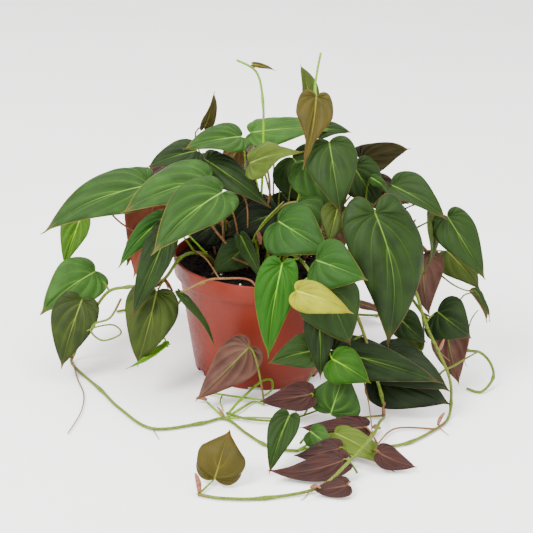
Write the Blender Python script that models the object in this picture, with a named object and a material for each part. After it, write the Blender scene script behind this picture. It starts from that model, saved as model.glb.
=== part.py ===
"""A trailing velvet-leaf philodendron growing in a thin plastic nursery pot.

Metres, +Z up.  The origin is the centre of the pot's flat base, on the surface that the pot stands on.
The front of the plant looks along -Y.  Plant positions are typed in millimetres around the pot.
"""
import math

import bmesh
import bpy
from mathutils import Vector

MM = 0.001
MERGE_DISTANCE = 0.00001
SHARP_ANGLE = math.radians(35)

# Pot
RIM_RADIUS = 0.0750
POT_HEIGHT = 0.1010
BAND_HEIGHT = 0.0160
BAND_STEP = 0.0042
BAND_FLARE = 0.0008
WALL = 0.0012
FLOOR_THICKNESS = 0.0015
BASE_RADIUS = 0.0545
CHAMFER_RADIUS = 0.0562
CHAMFER_HEIGHT = 0.0090
POT_SEGMENTS = 40
NOTCH_COUNT = 6
NOTCH_WIDTH = 0.0110
NOTCH_HEIGHT = 0.0036
NOTCH_DEPTH = 0.0120
NOTCH_FIRST_ANGLE = math.radians(28)

# Soil
HEADSPACE = 0.0080
CLEARANCE = 0.0003

# Plant
VINE_RADIUS = 0.0014
SHOOT_RADIUS = 0.0011
STALK_RADIUS = 0.0008
BLADE_THICKNESS = 0.0006
MIDRIB_HALF_WIDTH = 0.0009
RIB_CROWDING = 1.4
ARCH = 0.20
FOLD = 0.18
STALK_ENTRY = 0.0040
STALK_STEPS = 6
# How far back a stalk leans as it leaves the blade, and how strongly its two ends bow it, as shares.
LEAVE_LEAN = 0.5
LEAVE_PULL = 0.4
ARRIVE_PULL = 0.3
# How far a stalk's end stands from its stem, in its own radii, so that the two stay just apart.
NODE_STANDOFF = 2.0
POINTS_PER_SPAN = 2

# The plant's positions were laid out round a pot of this size, and follow the pot when it changes.
LAYOUT_RADIUS = 0.0750
LAYOUT_HEIGHT = 0.1010

# Half of the heart-shaped outline from the notch round the lobe to the tip:
# across in half widths, along in lengths.
HALF_OUTLINE = [
    (0.00, 0.00),
    (0.28, -0.07),
    (0.70, -0.05),
    (0.98, 0.13),
    (0.94, 0.37),
    (0.66, 0.64),
    (0.32, 0.84),
    (0.00, 1.02),
]

# Stems by their own points, in millimetres.  The first point of a stem that grows from the soil is
# given by x and y only.
STEMS = {
    "stem_left_trailer": (VINE_RADIUS, [
        (-38, -10), (-44, -14, 102), (-56, -21, 108), (-68, -28, 105), (-80, -38, 90), (-95, -38, 84),
        (-110, -34, 80), (-126, -30, 74), (-138, -23, 56), (-150, -15, 30), (-158, -12, 8), (-158, -24, 2),
        (-129, -69, 2), (-109, -102, 2), (-80, -134, 2), (-43, -122, 2), (-24, -112, 2), (-7, -134, 2),
        (7, -151, 2), (20, -159, 2), (34, -160, 2)]),
    "stem_front_trailer": (VINE_RADIUS, [
        (38, -28), (46, -42, 106), (60, -58, 108), (72, -74, 94), (84, -88, 70), (92, -93, 46),
        (101, -93, 20), (104, -98, 4), (98, -128, 13), (90, -164, 20), (70, -203, 17), (48, -219, 4),
        (10, -233, 2), (-20, -236, 2), (-38, -232, 2)]),
    "stem_right_trailer": (VINE_RADIUS, [
        (46, -6), (58, -12, 108), (76, -20, 114), (96, -30, 116), (112, -40, 112), (126, -49, 94),
        (136, -55, 68), (148, -62, 46), (158, -72, 26), (159, -84, 10), (156, -95, 2), (146, -112, 2),
        (122, -138, 2), (102, -148, 2)]),
    "stem_right_loop": (VINE_RADIUS, [
        (32, 24), (48, 30, 112), (76, 30, 114), (108, 14, 92), (138, -8, 58), (162, -18, 36),
        (178, -18, 29), (190, -15, 26), (199, -18, 18), (201, -28, 9), (190, -42, 2), (178, -37, 2)]),
    "stem_top_left": (SHOOT_RADIUS, [
        (-6, 6), (-3, 4, 150), (-3, 5, 198), (-5, 5, 234), (-11, 0, 258), (-27, -8, 269)]),
    "stem_top_right": (SHOOT_RADIUS, [
        (16, 0), (24, -2, 130), (30, -3, 165), (35, 0, 203), (37, 2, 249), (40, 0, 276)]),
    "stem_right_arm": (VINE_RADIUS, [
        (34, 8), (44, 8, 118), (62, 5, 140), (85, 0, 142), (105, 0, 134), (122, 0, 127),
        (138, 3, 110), (150, 6, 90)]),
    "stem_left_arm": (VINE_RADIUS, [
        (-32, 12), (-38, 16, 130), (-52, 20, 158), (-72, 24, 168), (-92, 26, 160), (-112, 28, 148),
        (-132, 30, 134), (-150, 30, 119)]),
    "stem_front_arm": (VINE_RADIUS, [
        (14, -32), (20, -46, 118), (30, -62, 122), (40, -76, 114), (47, -86, 98), (51, -92, 80),
        (54, -102, 66)]),
    "stem_back_left": (VINE_RADIUS, [
        (-24, 32), (-36, 52, 108), (-52, 70, 104), (-62, 84, 78), (-70, 92, 34), (-80, 104, 7),
        (-108, 112, 2), (-134, 96, 2)]),
    "stem_back_right": (VINE_RADIUS, [
        (24, 36), (38, 56, 110), (52, 74, 102), (60, 86, 66), (66, 96, 22), (78, 110, 5),
        (112, 114, 2)]),
}

SOIL = "soil"

# Leaves: name, stalk's end at the blade, tip, width, facing (azimuth, elevation in degrees; azimuth 0
# is the front and 90 the right), where the stalk grows from: a stem and the number of its point, a
# spot on the soil, or a point of its own.
LEAVES = [
    ("leaf_left_long", (-96, 0, 159), (-181, -30, 128), 52, (0, 60), ("stem_left_arm", 3)),
    ("leaf_left_middle", (-45, -25, 175), (-111, -60, 158), 50, (0, 60), ("stem_left_arm", 1)),
    ("leaf_left_front", (-34, -55, 173), (-84, -98, 137), 46, (5, 52), (SOIL, -18, -18)),
    ("leaf_left_lime", (-158, 30, 117), (-170, 10, 80), 26, (-15, 20), ("stem_left_arm", 6)),
    ("leaf_left_rust", (-92, 10, 146), (-106, -12, 82), 50, (170, -10), ("stem_left_arm", 2)),
    ("leaf_left_folded", (-77, -48, 137), (-103, -80, 72), 29, (-24, 22), ("stem_left_trailer", 2)),
    ("leaf_far_left", (-142, 0, 79), (-183, -30, 53), 46, (-5, 45), ("stem_left_trailer", 7)),
    ("leaf_low_left", (-148, -38, 68), (-163, -58, 16), 40, (-10, 20), ("stem_left_trailer", 8)),
    ("leaf_beside_pot", (-84, -62, 88), (-97, -80, 31), 44, (-5, 20), ("stem_left_trailer", 4)),
    ("leaf_top_flat", (-22, 17, 199), (-66, -9, 197), 34, (0, 58), (SOIL, -14, 20)),
    ("leaf_shaded_left", (-50, 8, 180), (4, -14, 150), 34, (0, 60), (SOIL, -15, 1)),
    ("leaf_top_right_flat", (-13, 32, 199), (56, 18, 210), 36, (0, 62), (SOIL, 0, 26)),
    ("leaf_khaki_top", (-13, -8, 184), (27, -32, 203), 34, (-10, 45), (SOIL, 5, -11)),
    ("leaf_copper_top", (38, -12, 243), (30, -42, 193), 30, (0, 15), ("stem_top_right", 4)),
    ("leaf_crown_front", (50, -25, 209), (61, -55, 161), 43, (0, 25), ("stem_top_right", 2)),
    ("leaf_crown_dark", (22, 22, 181), (58, 8, 142), 50, (0, 30), (SOIL, 12, 14)),
    ("leaf_crown_right", (73, 16, 178), (97, 10, 142), 38, (10, 30), ("stem_right_arm", 2)),
    ("leaf_upturned", (80, 38, 179), (119, 23, 195), 32, (170, 25), (SOIL, 26, 18)),
    ("leaf_right_shoulder", (105, -5, 169), (148, -30, 152), 34, (20, 50), ("stem_right_arm", 3)),
    ("leaf_far_right", (152, -10, 146), (184, -35, 103), 36, (15, 22), ("stem_right_arm", 5)),
    ("leaf_olive_right", (158, 16, 106), (187, 2, 79), 32, (20, 20), ("stem_right_arm", 6)),
    ("leaf_red_back", (134, -15, 112), (141, -23, 64), 34, (190, -10), ("stem_right_arm", 5)),
    ("leaf_large_front", (88, -60, 163), (104, -97, 67), 60, (4, 18), ("stem_right_arm", 2)),
    ("leaf_centre_bright", (12, -50, 149), (52, -80, 136), 48, (0, 30), (SOIL, 4, -26)),
    ("leaf_centre_behind", (27, -22, 156), (46, -40, 136), 40, (0, 30), (SOIL, 14, -14)),
    ("leaf_centre_right", (43, -90, 132), (80, -110, 126), 42, (5, 22), ("stem_front_arm", 3)),
    ("leaf_front_long", (16, -84, 125), (8, -106, 56), 33, (-8, 18), ("stem_front_arm", 2)),
    ("leaf_front_yellow", (28, -116, 116), (70, -128, 105), 26, (0, 28), ("stem_front_arm", 3)),
    ("leaf_front_dark", (50, -97, 113), (72, -108, 70), 50, (0, 18), ("stem_front_arm", 4)),
    ("leaf_front_narrow", (46, -98, 90), (50, -112, 42), 24, (-10, 15), ("stem_front_arm", 5)),
    ("leaf_pink_back", (-7, -84, 53), (-47, -94, 10), 35, (180, -15), (7, -84, 3)),
    ("leaf_front_lime", (59, -114, 59), (88, -127, 47), 32, (0, 32), ("stem_front_arm", 6)),
    ("leaf_front_round", (60, -117, 14), (70, -103, 44), 42, (0, 22), ("stem_front_trailer", 7)),
    ("leaf_large_low", (98, -66, 42), (154, -100, 30), 44, (0, 48), ("stem_front_trailer", 4)),
    ("leaf_right_round", (148, -34, 70), (175, -48, 55), 42, (10, 18), ("stem_right_trailer", 6)),
    ("leaf_right_maroon", (158, -24, 50), (170, -38, 8), 32, (185, 0), ("stem_right_loop", 4)),
    ("leaf_floor_hanging", (26, -172, 38), (13, -198, 4), 22, (-8, 20), ("stem_left_trailer", 19)),
    ("leaf_floor_khaki", (63, -146, 11), (105, -187, 5), 30, (0, 74), ("stem_left_trailer", 20)),
    ("leaf_floor_copper", (-27, -217, 7), (-20, -210, 38), 34, (-8, 10), ("stem_front_trailer", 14)),
    ("leaf_floor_purple", (68, -192, 13), (13, -206, 7), 26, (180, -66), (78, -194, 4)),
    ("leaf_back_left_high", (-60, 62, 168), (-112, 90, 128), 44, (-150, 40), (SOIL, -30, 30)),
    ("leaf_back_middle_high", (-10, 72, 176), (-22, 122, 132), 48, (178, 40), (SOIL, -8, 38)),
    ("leaf_back_right_high", (52, 62, 172), (88, 106, 130), 46, (150, 38), (SOIL, 24, 28)),
    ("leaf_back_left_low", (-46, 98, 112), (-58, 118, 58), 44, (-165, 18), ("stem_back_left", 2)),
    ("leaf_back_middle_low", (4, 92, 122), (8, 116, 66), 46, (180, 18), (SOIL, 6, 46)),
    ("leaf_back_right_low", (56, 106, 100), (70, 124, 48), 42, (165, 18), ("stem_back_right", 3)),
    ("leaf_back_top", (6, 48, 200), (0, 90, 194), 38, (180, 60), (SOIL, 8, 36)),
]


def around_pot(x, y, z):
    """Carry a point of the layout to its place round the pot of the present size, in metres."""
    radius = math.hypot(x, y) * MM
    height = z * MM
    if radius < LAYOUT_RADIUS:
        spread = RIM_RADIUS / LAYOUT_RADIUS
    else:
        spread = (radius + RIM_RADIUS - LAYOUT_RADIUS) / radius
    if height < LAYOUT_HEIGHT:
        raised = height * POT_HEIGHT / LAYOUT_HEIGHT
    else:
        raised = height + POT_HEIGHT - LAYOUT_HEIGHT
    return Vector((x * MM * spread, y * MM * spread, raised))


def smooth_route(points, steps):
    """Points along a Catmull-Rom curve through the given points."""
    route = []
    for i in range(len(points) - 1):
        before = points[max(i - 1, 0)]
        start = points[i]
        end = points[i + 1]
        after = points[min(i + 2, len(points) - 1)]
        for k in range(steps):
            t = k / steps
            route.append(0.5 * (2 * start + (end - before) * t
                                + (2 * before - 5 * start + 4 * end - after) * t * t
                                + (3 * start - before - 3 * end + after) * t * t * t))
    route.append(points[-1])
    return route


def material(name, colour, roughness):
    made = bpy.data.materials.new(name)
    made.use_nodes = True
    shader = made.node_tree.nodes["Principled BSDF"]
    shader.inputs["Base Color"].default_value = (*colour, 1)
    shader.inputs["Roughness"].default_value = roughness
    return made


def add_object(name, mesh, surface):
    made = bpy.data.objects.new(name, mesh)
    made.data.materials.append(surface)
    bpy.context.scene.collection.objects.link(made)
    return made


def tube_curve(name, points, radius, sides):
    """A filled tube along a list of points."""
    curve = bpy.data.curves.new(name, "CURVE")
    curve.dimensions = "3D"
    curve.bevel_depth = radius
    curve.bevel_resolution = sides
    curve.use_fill_caps = True
    spline = curve.splines.new("POLY")
    spline.points.add(len(points) - 1)
    for slot, point in zip(spline.points, points):
        slot.co = (*point, 1)
    return curve


def turned(name, profile, segments, surface):
    """Turn a closed profile of (radius, height) points about Z."""
    bm = bmesh.new()
    corners = [bm.verts.new((radius, 0, height)) for radius, height in profile]
    edges = [bm.edges.new(pair) for pair in zip(corners, corners[1:])]
    bmesh.ops.spin(bm, geom=corners + edges, cent=(0, 0, 0), axis=(0, 0, 1), angle=2 * math.pi,
                   steps=segments, use_merge=True)
    bmesh.ops.remove_doubles(bm, verts=bm.verts, dist=MERGE_DISTANCE)
    bmesh.ops.recalc_face_normals(bm, faces=bm.faces)
    mesh = bpy.data.meshes.new(name)
    bm.to_mesh(mesh)
    bm.free()
    mesh.shade_smooth()
    mesh.set_sharp_from_angle(angle=SHARP_ANGLE)
    return add_object(name, mesh, surface)


def wall_radius(height):
    """Outer radius of the tapering wall between the chamfer and the rim band."""
    share = (height - CHAMFER_HEIGHT) / (POT_HEIGHT - BAND_HEIGHT - CHAMFER_HEIGHT)
    return CHAMFER_RADIUS + share * (RIM_RADIUS - BAND_STEP - BAND_FLARE - CHAMFER_RADIUS)


def inside_of_pot():
    """The pot's inside as (radius, height) points, from the middle of the floor up to the rim."""
    ledge = POT_HEIGHT - BAND_HEIGHT + WALL
    return [
        (0, FLOOR_THICKNESS),
        (BASE_RADIUS - WALL, FLOOR_THICKNESS),
        (CHAMFER_RADIUS - WALL, CHAMFER_HEIGHT),
        (wall_radius(ledge - WALL) - WALL, ledge),
        (RIM_RADIUS - BAND_FLARE - WALL, ledge),
        (RIM_RADIUS - WALL, POT_HEIGHT),
    ]


def inner_radius(height):
    """Radius of the pot's inside at a height; the narrower one where it steps out to the band."""
    points = inside_of_pot()[1:]
    for (low_radius, low), (high_radius, high) in zip(points, points[1:]):
        if low < high and height <= high:
            return low_radius + (height - low) / (high - low) * (high_radius - low_radius)
    return RIM_RADIUS - WALL


def make_pot(surface):
    band_foot = POT_HEIGHT - BAND_HEIGHT
    outside = [
        (0, 0),
        (BASE_RADIUS, 0),
        (CHAMFER_RADIUS, CHAMFER_HEIGHT),
        (wall_radius(band_foot), band_foot),
        (RIM_RADIUS - BAND_FLARE, band_foot),
        (RIM_RADIUS, POT_HEIGHT),
    ]
    pot = turned("pot", outside + inside_of_pot()[::-1], POT_SEGMENTS, surface)
    for number in range(NOTCH_COUNT):
        angle = NOTCH_FIRST_ANGLE + number * 2 * math.pi / NOTCH_COUNT
        cut_drain_notch(pot, number, angle)
    return pot


def cut_drain_notch(pot, number, angle):
    """A low slot through the edge of the base, where water drains."""
    bm = bmesh.new()
    bmesh.ops.create_cube(bm, size=1)
    bmesh.ops.scale(bm, vec=(NOTCH_DEPTH, NOTCH_WIDTH, 2 * NOTCH_HEIGHT), verts=bm.verts)
    mesh = bpy.data.meshes.new("notch_cutter")
    bm.to_mesh(mesh)
    bm.free()
    cutter = bpy.data.objects.new(f"notch_cutter_{number}", mesh)
    cutter.location = (BASE_RADIUS * math.cos(angle), BASE_RADIUS * math.sin(angle), 0)
    cutter.rotation_euler = (0, 0, angle)
    cutter.hide_render = True
    cutter.display_type = "WIRE"
    bpy.context.scene.collection.objects.link(cutter)
    cut = pot.modifiers.new(f"notch_{number}", "BOOLEAN")
    cut.operation = "DIFFERENCE"
    cut.solver = "EXACT"
    cut.object = cutter


def soil_top():
    return POT_HEIGHT - HEADSPACE


def make_soil(surface):
    """The root ball fills the pot from just above its floor to the headspace."""
    foot = max(FLOOR_THICKNESS, NOTCH_HEIGHT) + CLEARANCE
    ledge = POT_HEIGHT - BAND_HEIGHT + WALL
    levels = [foot, CHAMFER_HEIGHT, min(ledge, soil_top())]
    if soil_top() > ledge + CLEARANCE:
        levels.append(ledge + CLEARANCE)
        levels.append(soil_top())
    profile = [(0, foot)]
    for level in levels:
        profile.append((inner_radius(level) - CLEARANCE, level))
    profile.append((0, soil_top()))
    return turned("soil", profile, POT_SEGMENTS, surface)


def on_soil(x, y, radius):
    """The foot of a stem or stalk that stands just clear of the soil, whichever way it leans."""
    foot = around_pot(x, y, 0)
    foot.z = soil_top() + CLEARANCE + radius
    return foot


def stem_points(name):
    """The points of a stem in metres; one that starts in the soil stands just clear of it."""
    layout = STEMS[name][1]
    points = [around_pot(*point) for point in layout if len(point) == 3]
    if len(layout[0]) == 2:
        points = [on_soil(*layout[0], STEMS[name][0])] + points
    return points


def make_stem(name, surface):
    radius = STEMS[name][0]
    curve = tube_curve(name, smooth_route(stem_points(name), POINTS_PER_SPAN), radius, 1)
    return add_object(name, curve, surface)


def facing_vector(azimuth, elevation):
    turn = math.radians(azimuth)
    rise = math.radians(elevation)
    return Vector((math.sin(turn) * math.cos(rise), -math.cos(turn) * math.cos(rise), math.sin(rise)))


def leaf_axes(base, tip, facing):
    """Unit vectors along a leaf, across it and out of its upper face."""
    along = (tip - base).normalized()
    face = facing_vector(*facing)
    face = (face - along * face.dot(along)).normalized()
    return along, along.cross(face), face


def blade_arch(y, length):
    """How far the midrib rises over the straight line from notch to tip."""
    return ARCH * max(y, 0) * (1 - y / length)


def make_blade(base, tip, width, facing):
    """The heart-shaped blade as one closed shell, with its underside facing away from its face."""
    along, across, face = leaf_axes(base, tip, facing)
    length = (tip - base).length
    rows = len(HALF_OUTLINE) - 1
    bm = bmesh.new()
    bmesh.ops.create_grid(bm, x_segments=3, y_segments=rows, size=1)
    for vert in bm.verts:
        row = round((vert.co.y + 1) / 2 * rows)
        margin_x, margin_y = HALF_OUTLINE[row]
        rib_x = MIDRIB_HALF_WIDTH * (1 - row / rows)
        rib_y = (row / rows) ** RIB_CROWDING * length
        side = math.copysign(1, vert.co.x)
        if abs(vert.co.x) > 0.5:
            x = max(margin_x * width / 2, rib_x)
            y = margin_y * length
        else:
            x = rib_x
            y = rib_y
        rise = blade_arch(y, length) + FOLD * (x - rib_x)
        vert.co = base + along * y + across * side * x + face * rise
    bmesh.ops.remove_doubles(bm, verts=bm.verts, dist=MERGE_DISTANCE)
    bmesh.ops.recalc_face_normals(bm, faces=bm.faces)
    top = bmesh.ops.extrude_face_region(bm, geom=bm.faces[:], use_keep_orig=True)
    raised = [item for item in top["geom"] if isinstance(item, bmesh.types.BMVert)]
    bmesh.ops.translate(bm, vec=face * BLADE_THICKNESS, verts=raised)
    bmesh.ops.recalc_face_normals(bm, faces=bm.faces)
    return bm


def underside_near_notch(bm, base, facing_out, along):
    """The face of the midrib's underside that the stalk grows from."""
    aim = base + along * STALK_ENTRY
    below = [face for face in bm.faces if face.normal.dot(facing_out) < -0.6]
    return min(below, key=lambda face: (face.calc_center_median() - aim).length)


def stem_heading(name, number):
    """The direction of a stem at one of its points."""
    layout = STEMS[name][1]
    ahead = layout[min(number + 1, len(layout) - 1)]
    behind = layout[max(number - 1, 1)]
    return (around_pot(*ahead) - around_pot(*behind)).normalized()


def stalk_route(start, tip, base, facing, root):
    """A bowed stalk, from the underside of the blade down and back to its root."""
    along, _, face = leaf_axes(base, tip, facing)
    if root[0] == SOIL:
        end = on_soil(root[1], root[2], STALK_RADIUS)
    elif root[0] in STEMS:
        end = around_pot(*STEMS[root[0]][1][root[1]])
    else:
        end = around_pot(*root)
    reach = (end - start).length
    leave = start - (face + along * LEAVE_LEAN).normalized() * reach * LEAVE_PULL
    arrive = (leave - end).normalized()
    if root[0] == SOIL:
        arrive = Vector((0, 0, 1))
    elif root[0] in STEMS:
        heading = stem_heading(*root)
        outward = (arrive - heading * arrive.dot(heading)).normalized()
        end = end + outward * (STEMS[root[0]][0] + NODE_STANDOFF * STALK_RADIUS)
        arrive = (outward + arrive).normalized()
    last = end + arrive * reach * ARRIVE_PULL
    route = []
    for k in range(STALK_STEPS + 1):
        t = k / STALK_STEPS
        route.append((1 - t) ** 3 * start + 3 * t * (1 - t) ** 2 * leave
                     + 3 * t * t * (1 - t) * last + t ** 3 * end)
    return route


def grow_stalk(bm, face, route):
    """Extrude a face along a route, turning it square to the route as it goes."""
    heading = face.normal.copy()
    centre = face.calc_center_median()
    for number, point in enumerate(route[1:], start=1):
        after = route[min(number + 1, len(route) - 1)]
        before = route[number - 1]
        turned_heading = (after - before).normalized()
        face = bmesh.ops.extrude_discrete_faces(bm, faces=[face])["faces"][0]
        turn = heading.rotation_difference(turned_heading).to_matrix()
        for vert in face.verts:
            arm = turn @ (vert.co - centre)
            if number == 1:
                arm = arm - turned_heading * arm.dot(turned_heading)
                arm = arm.normalized() * STALK_RADIUS
            vert.co = point + arm
        heading = turned_heading
        centre = point


def make_leaf(name, base, tip, width, facing, root, surface):
    base = around_pot(*base)
    tip = around_pot(*tip)
    along, _, face_out = leaf_axes(base, tip, facing)
    bm = make_blade(base, tip, width * MM, facing)
    patch = underside_near_notch(bm, base, face_out, along)
    grow_stalk(bm, patch, stalk_route(patch.calc_center_median(), tip, base, facing, root))
    bmesh.ops.recalc_face_normals(bm, faces=bm.faces)
    mesh = bpy.data.meshes.new(name)
    bm.to_mesh(mesh)
    bm.free()
    mesh.shade_smooth()
    return add_object(name, mesh, surface)


def main():
    for old in list(bpy.data.objects):
        bpy.data.objects.remove(old)
    terracotta = material("terracotta_plastic", (0.42, 0.10, 0.055), 0.5)
    earth = material("potting_soil", (0.02, 0.014, 0.01), 0.95)
    green_stem = material("green_stem", (0.24, 0.30, 0.06), 0.45)
    velvet_leaf = material("velvet_leaf", (0.07, 0.16, 0.05), 0.55)
    make_pot(terracotta)
    make_soil(earth)
    for name in STEMS:
        make_stem(name, green_stem)
    for name, base, tip, width, facing, root in LEAVES:
        make_leaf(name, base, tip, width, facing, root, velvet_leaf)


main()
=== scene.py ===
"""Trailing velvet-leaf philodendron in a thin plastic nursery pot: the finished surfaces.

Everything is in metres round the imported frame, whose origin is the middle of the pot's flat base.
The front of the plant looks along -Y.  Plant positions are typed in millimetres, as in the CAD layout.
"""
import math
import random

import bmesh
import bpy
from mathutils import Matrix, Vector, noise


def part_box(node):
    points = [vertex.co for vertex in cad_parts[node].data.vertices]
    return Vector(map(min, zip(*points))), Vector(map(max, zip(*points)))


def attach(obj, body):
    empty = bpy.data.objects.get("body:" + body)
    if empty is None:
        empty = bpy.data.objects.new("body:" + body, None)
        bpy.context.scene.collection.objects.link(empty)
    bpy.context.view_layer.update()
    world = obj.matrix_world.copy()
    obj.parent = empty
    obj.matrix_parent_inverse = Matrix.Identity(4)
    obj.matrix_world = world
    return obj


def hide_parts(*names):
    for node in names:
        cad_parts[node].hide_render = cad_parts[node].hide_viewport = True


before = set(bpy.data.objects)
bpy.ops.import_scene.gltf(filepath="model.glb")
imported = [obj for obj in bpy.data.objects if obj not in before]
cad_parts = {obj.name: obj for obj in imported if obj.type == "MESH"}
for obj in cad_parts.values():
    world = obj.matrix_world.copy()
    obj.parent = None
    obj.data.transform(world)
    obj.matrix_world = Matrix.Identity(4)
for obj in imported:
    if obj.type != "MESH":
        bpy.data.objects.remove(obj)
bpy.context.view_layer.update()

MM = 0.001
MERGE_DISTANCE = 1e-6

# Pot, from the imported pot's own box where a size can be read from it
POT_LOW, POT_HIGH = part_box("pot")
RIM_RADIUS = (POT_HIGH[0] - POT_LOW[0]) / 2
POT_HEIGHT = POT_HIGH[2]
BAND_HEIGHT = 16 * MM
BAND_STEP = 4.2 * MM
BAND_FLARE = 0.8 * MM
WALL = 1.2 * MM
LIP = WALL * 1.4
POT_FLOOR = 1.5 * MM
BASE_RADIUS = 54.5 * MM
CHAMFER_RADIUS = 56.2 * MM
CHAMFER_HEIGHT = 9 * MM
POT_SEGMENTS = 128
POT_SHARP_ANGLE = math.radians(38)
NOTCH_COUNT = 6
NOTCH_FIRST_ANGLE = math.radians(28)
NOTCH_CUT = (12 * MM, 11 * MM, 7.2 * MM)

# Potting mix
SOIL_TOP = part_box("soil")[1][2]
CLEARANCE = 0.3 * MM
SOIL_RADIUS = RIM_RADIUS - BAND_FLARE - WALL - CLEARANCE
SOIL_FOOT = 4.5 * MM
SOIL_EYE = 0.3 * MM
SOIL_RINGS = 34
SOIL_SEGMENTS = 96
SOIL_CROWN = 2.0 * MM
SOIL_SETTLING = 2.2 * MM
SOIL_LUMPS = [(90, 1.8 * MM, 0), (260, 0.8 * MM, 7)]

# Stems and stalks
VINE_RADIUS = 1.4 * MM
SHOOT_RADIUS = 1.1 * MM
ROUTE_STEPS = 8
NODE_SPACING = 3
NODE_SWELLING = 0.4
NODE_SHARPNESS = 4
STEM_FOOT = 1.05
STEM_TAPER = 0.20
SIDE_STEM_TAPER = 0.35
STEM_ROOT_DEPTH = 3 * MM
STALK_RADIUS = 0.8 * MM
STALK_STEPS = 14
STALK_TOP = 0.85
STALK_SWELLING = 0.45
STALK_ROOT_DEPTH = 2 * MM
STALK_INSET = 1.0 * MM
STALK_SINK = 0.4 * MM
LEAVE_LEAN = 0.5
LEAVE_PULL = 0.4
ARRIVE_PULL = 0.3
LYING_HEIGHT = STALK_RADIUS * 1.3
RED_STALK_SHARE = 0.4
SOIL = "soil"

# The grid of a blade: rows run as side veins do, and columns crowd towards the midrib.
BLADE_THICKNESS = 0.3 * MM
BLADE_COLUMNS = 18
COLUMN_CROWDING = 1.25
OUTLINE_STEPS = 4
RIB_CROWDING = 9
VEIN_PAIRS = 7
VEIN_BEND_ACROSS = (0.60, 0.65)
VEIN_BEND_ALONG = (0.30, -0.05)

# The relief of a blade, in shares of its length or width where no millimetres are given
ARCH = 0.20
FOLD = 0.18
FOLD_ROUNDING = 1.0 * MM
CUP = 0.22
HOOK = 0.05
HOOK_START = 0.55
HOOK_SPREAD = 0.2
LOBE_DROOP = 0.10
DRIP = 0.12
DRIP_START = 0.3
DRIP_LENGTH = 0.35
PILLOW = 0.028
PILLOW_FULLNESS = 0.8
PILLOW_START = 0.12
GROOVE = 0.006
GROOVE_WIDTH = 0.02
MARGIN_WAVES = 5
MARGIN_WAVE_SHIFT = 1.7
MIDRIB_WIDTH = 1.1 * MM
MIDRIB_END = 1.15
FINE_VEINS = 5

# Papery bracts, and the crumbs on the soil
SHEATH_THICKNESS = 0.2 * MM
SHEATH_ROLL = 2.0
SHEATH_DEPTH = 1.2
SHEATH_TURN = 30
SHEATH_LEAN = 20
SHEATH_CLEARANCE = 0.4 * MM
SCATTER_REACH = 0.93
SCATTER_LIFT = 0.25

# Studio: the camera, and each light's name, place, width and power
CAMERA_RISE = math.radians(21)
CAMERA_TILT = math.radians(2.5)
CAMERA_TARGET = Vector((0.004, 0, 0.0905))
CAMERA_DISTANCE = 1.2
CAMERA_LENS = 95.4
CAMERA_SENSOR = 36
FLOOR_SIZE = 6
SURROUND = 2.0
LIGHT_AIM = Vector((0, 0, 0.1))
LIGHTS = [
    ("key", (-0.9, -1.0, 1.5), 0.8, 62),
    ("fill", (1.2, -1.1, 0.8), 1.2, 16),
    ("top", (0.1, 0.3, 1.7), 1.0, 22),
]

# Half of the heart-shaped outline from the notch round the lobe to the drawn-out tip:
# across in half widths, along in lengths.
HALF_OUTLINE = [
    (0.00, 0.000),
    (0.06, -0.036),
    (0.22, -0.070),
    (0.46, -0.080),
    (0.71, -0.045),
    (0.90, 0.045),
    (1.00, 0.180),
    (0.98, 0.320),
    (0.88, 0.465),
    (0.71, 0.615),
    (0.49, 0.755),
    (0.26, 0.875),
    (0.08, 0.960),
    (0.00, 1.040),
]

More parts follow.
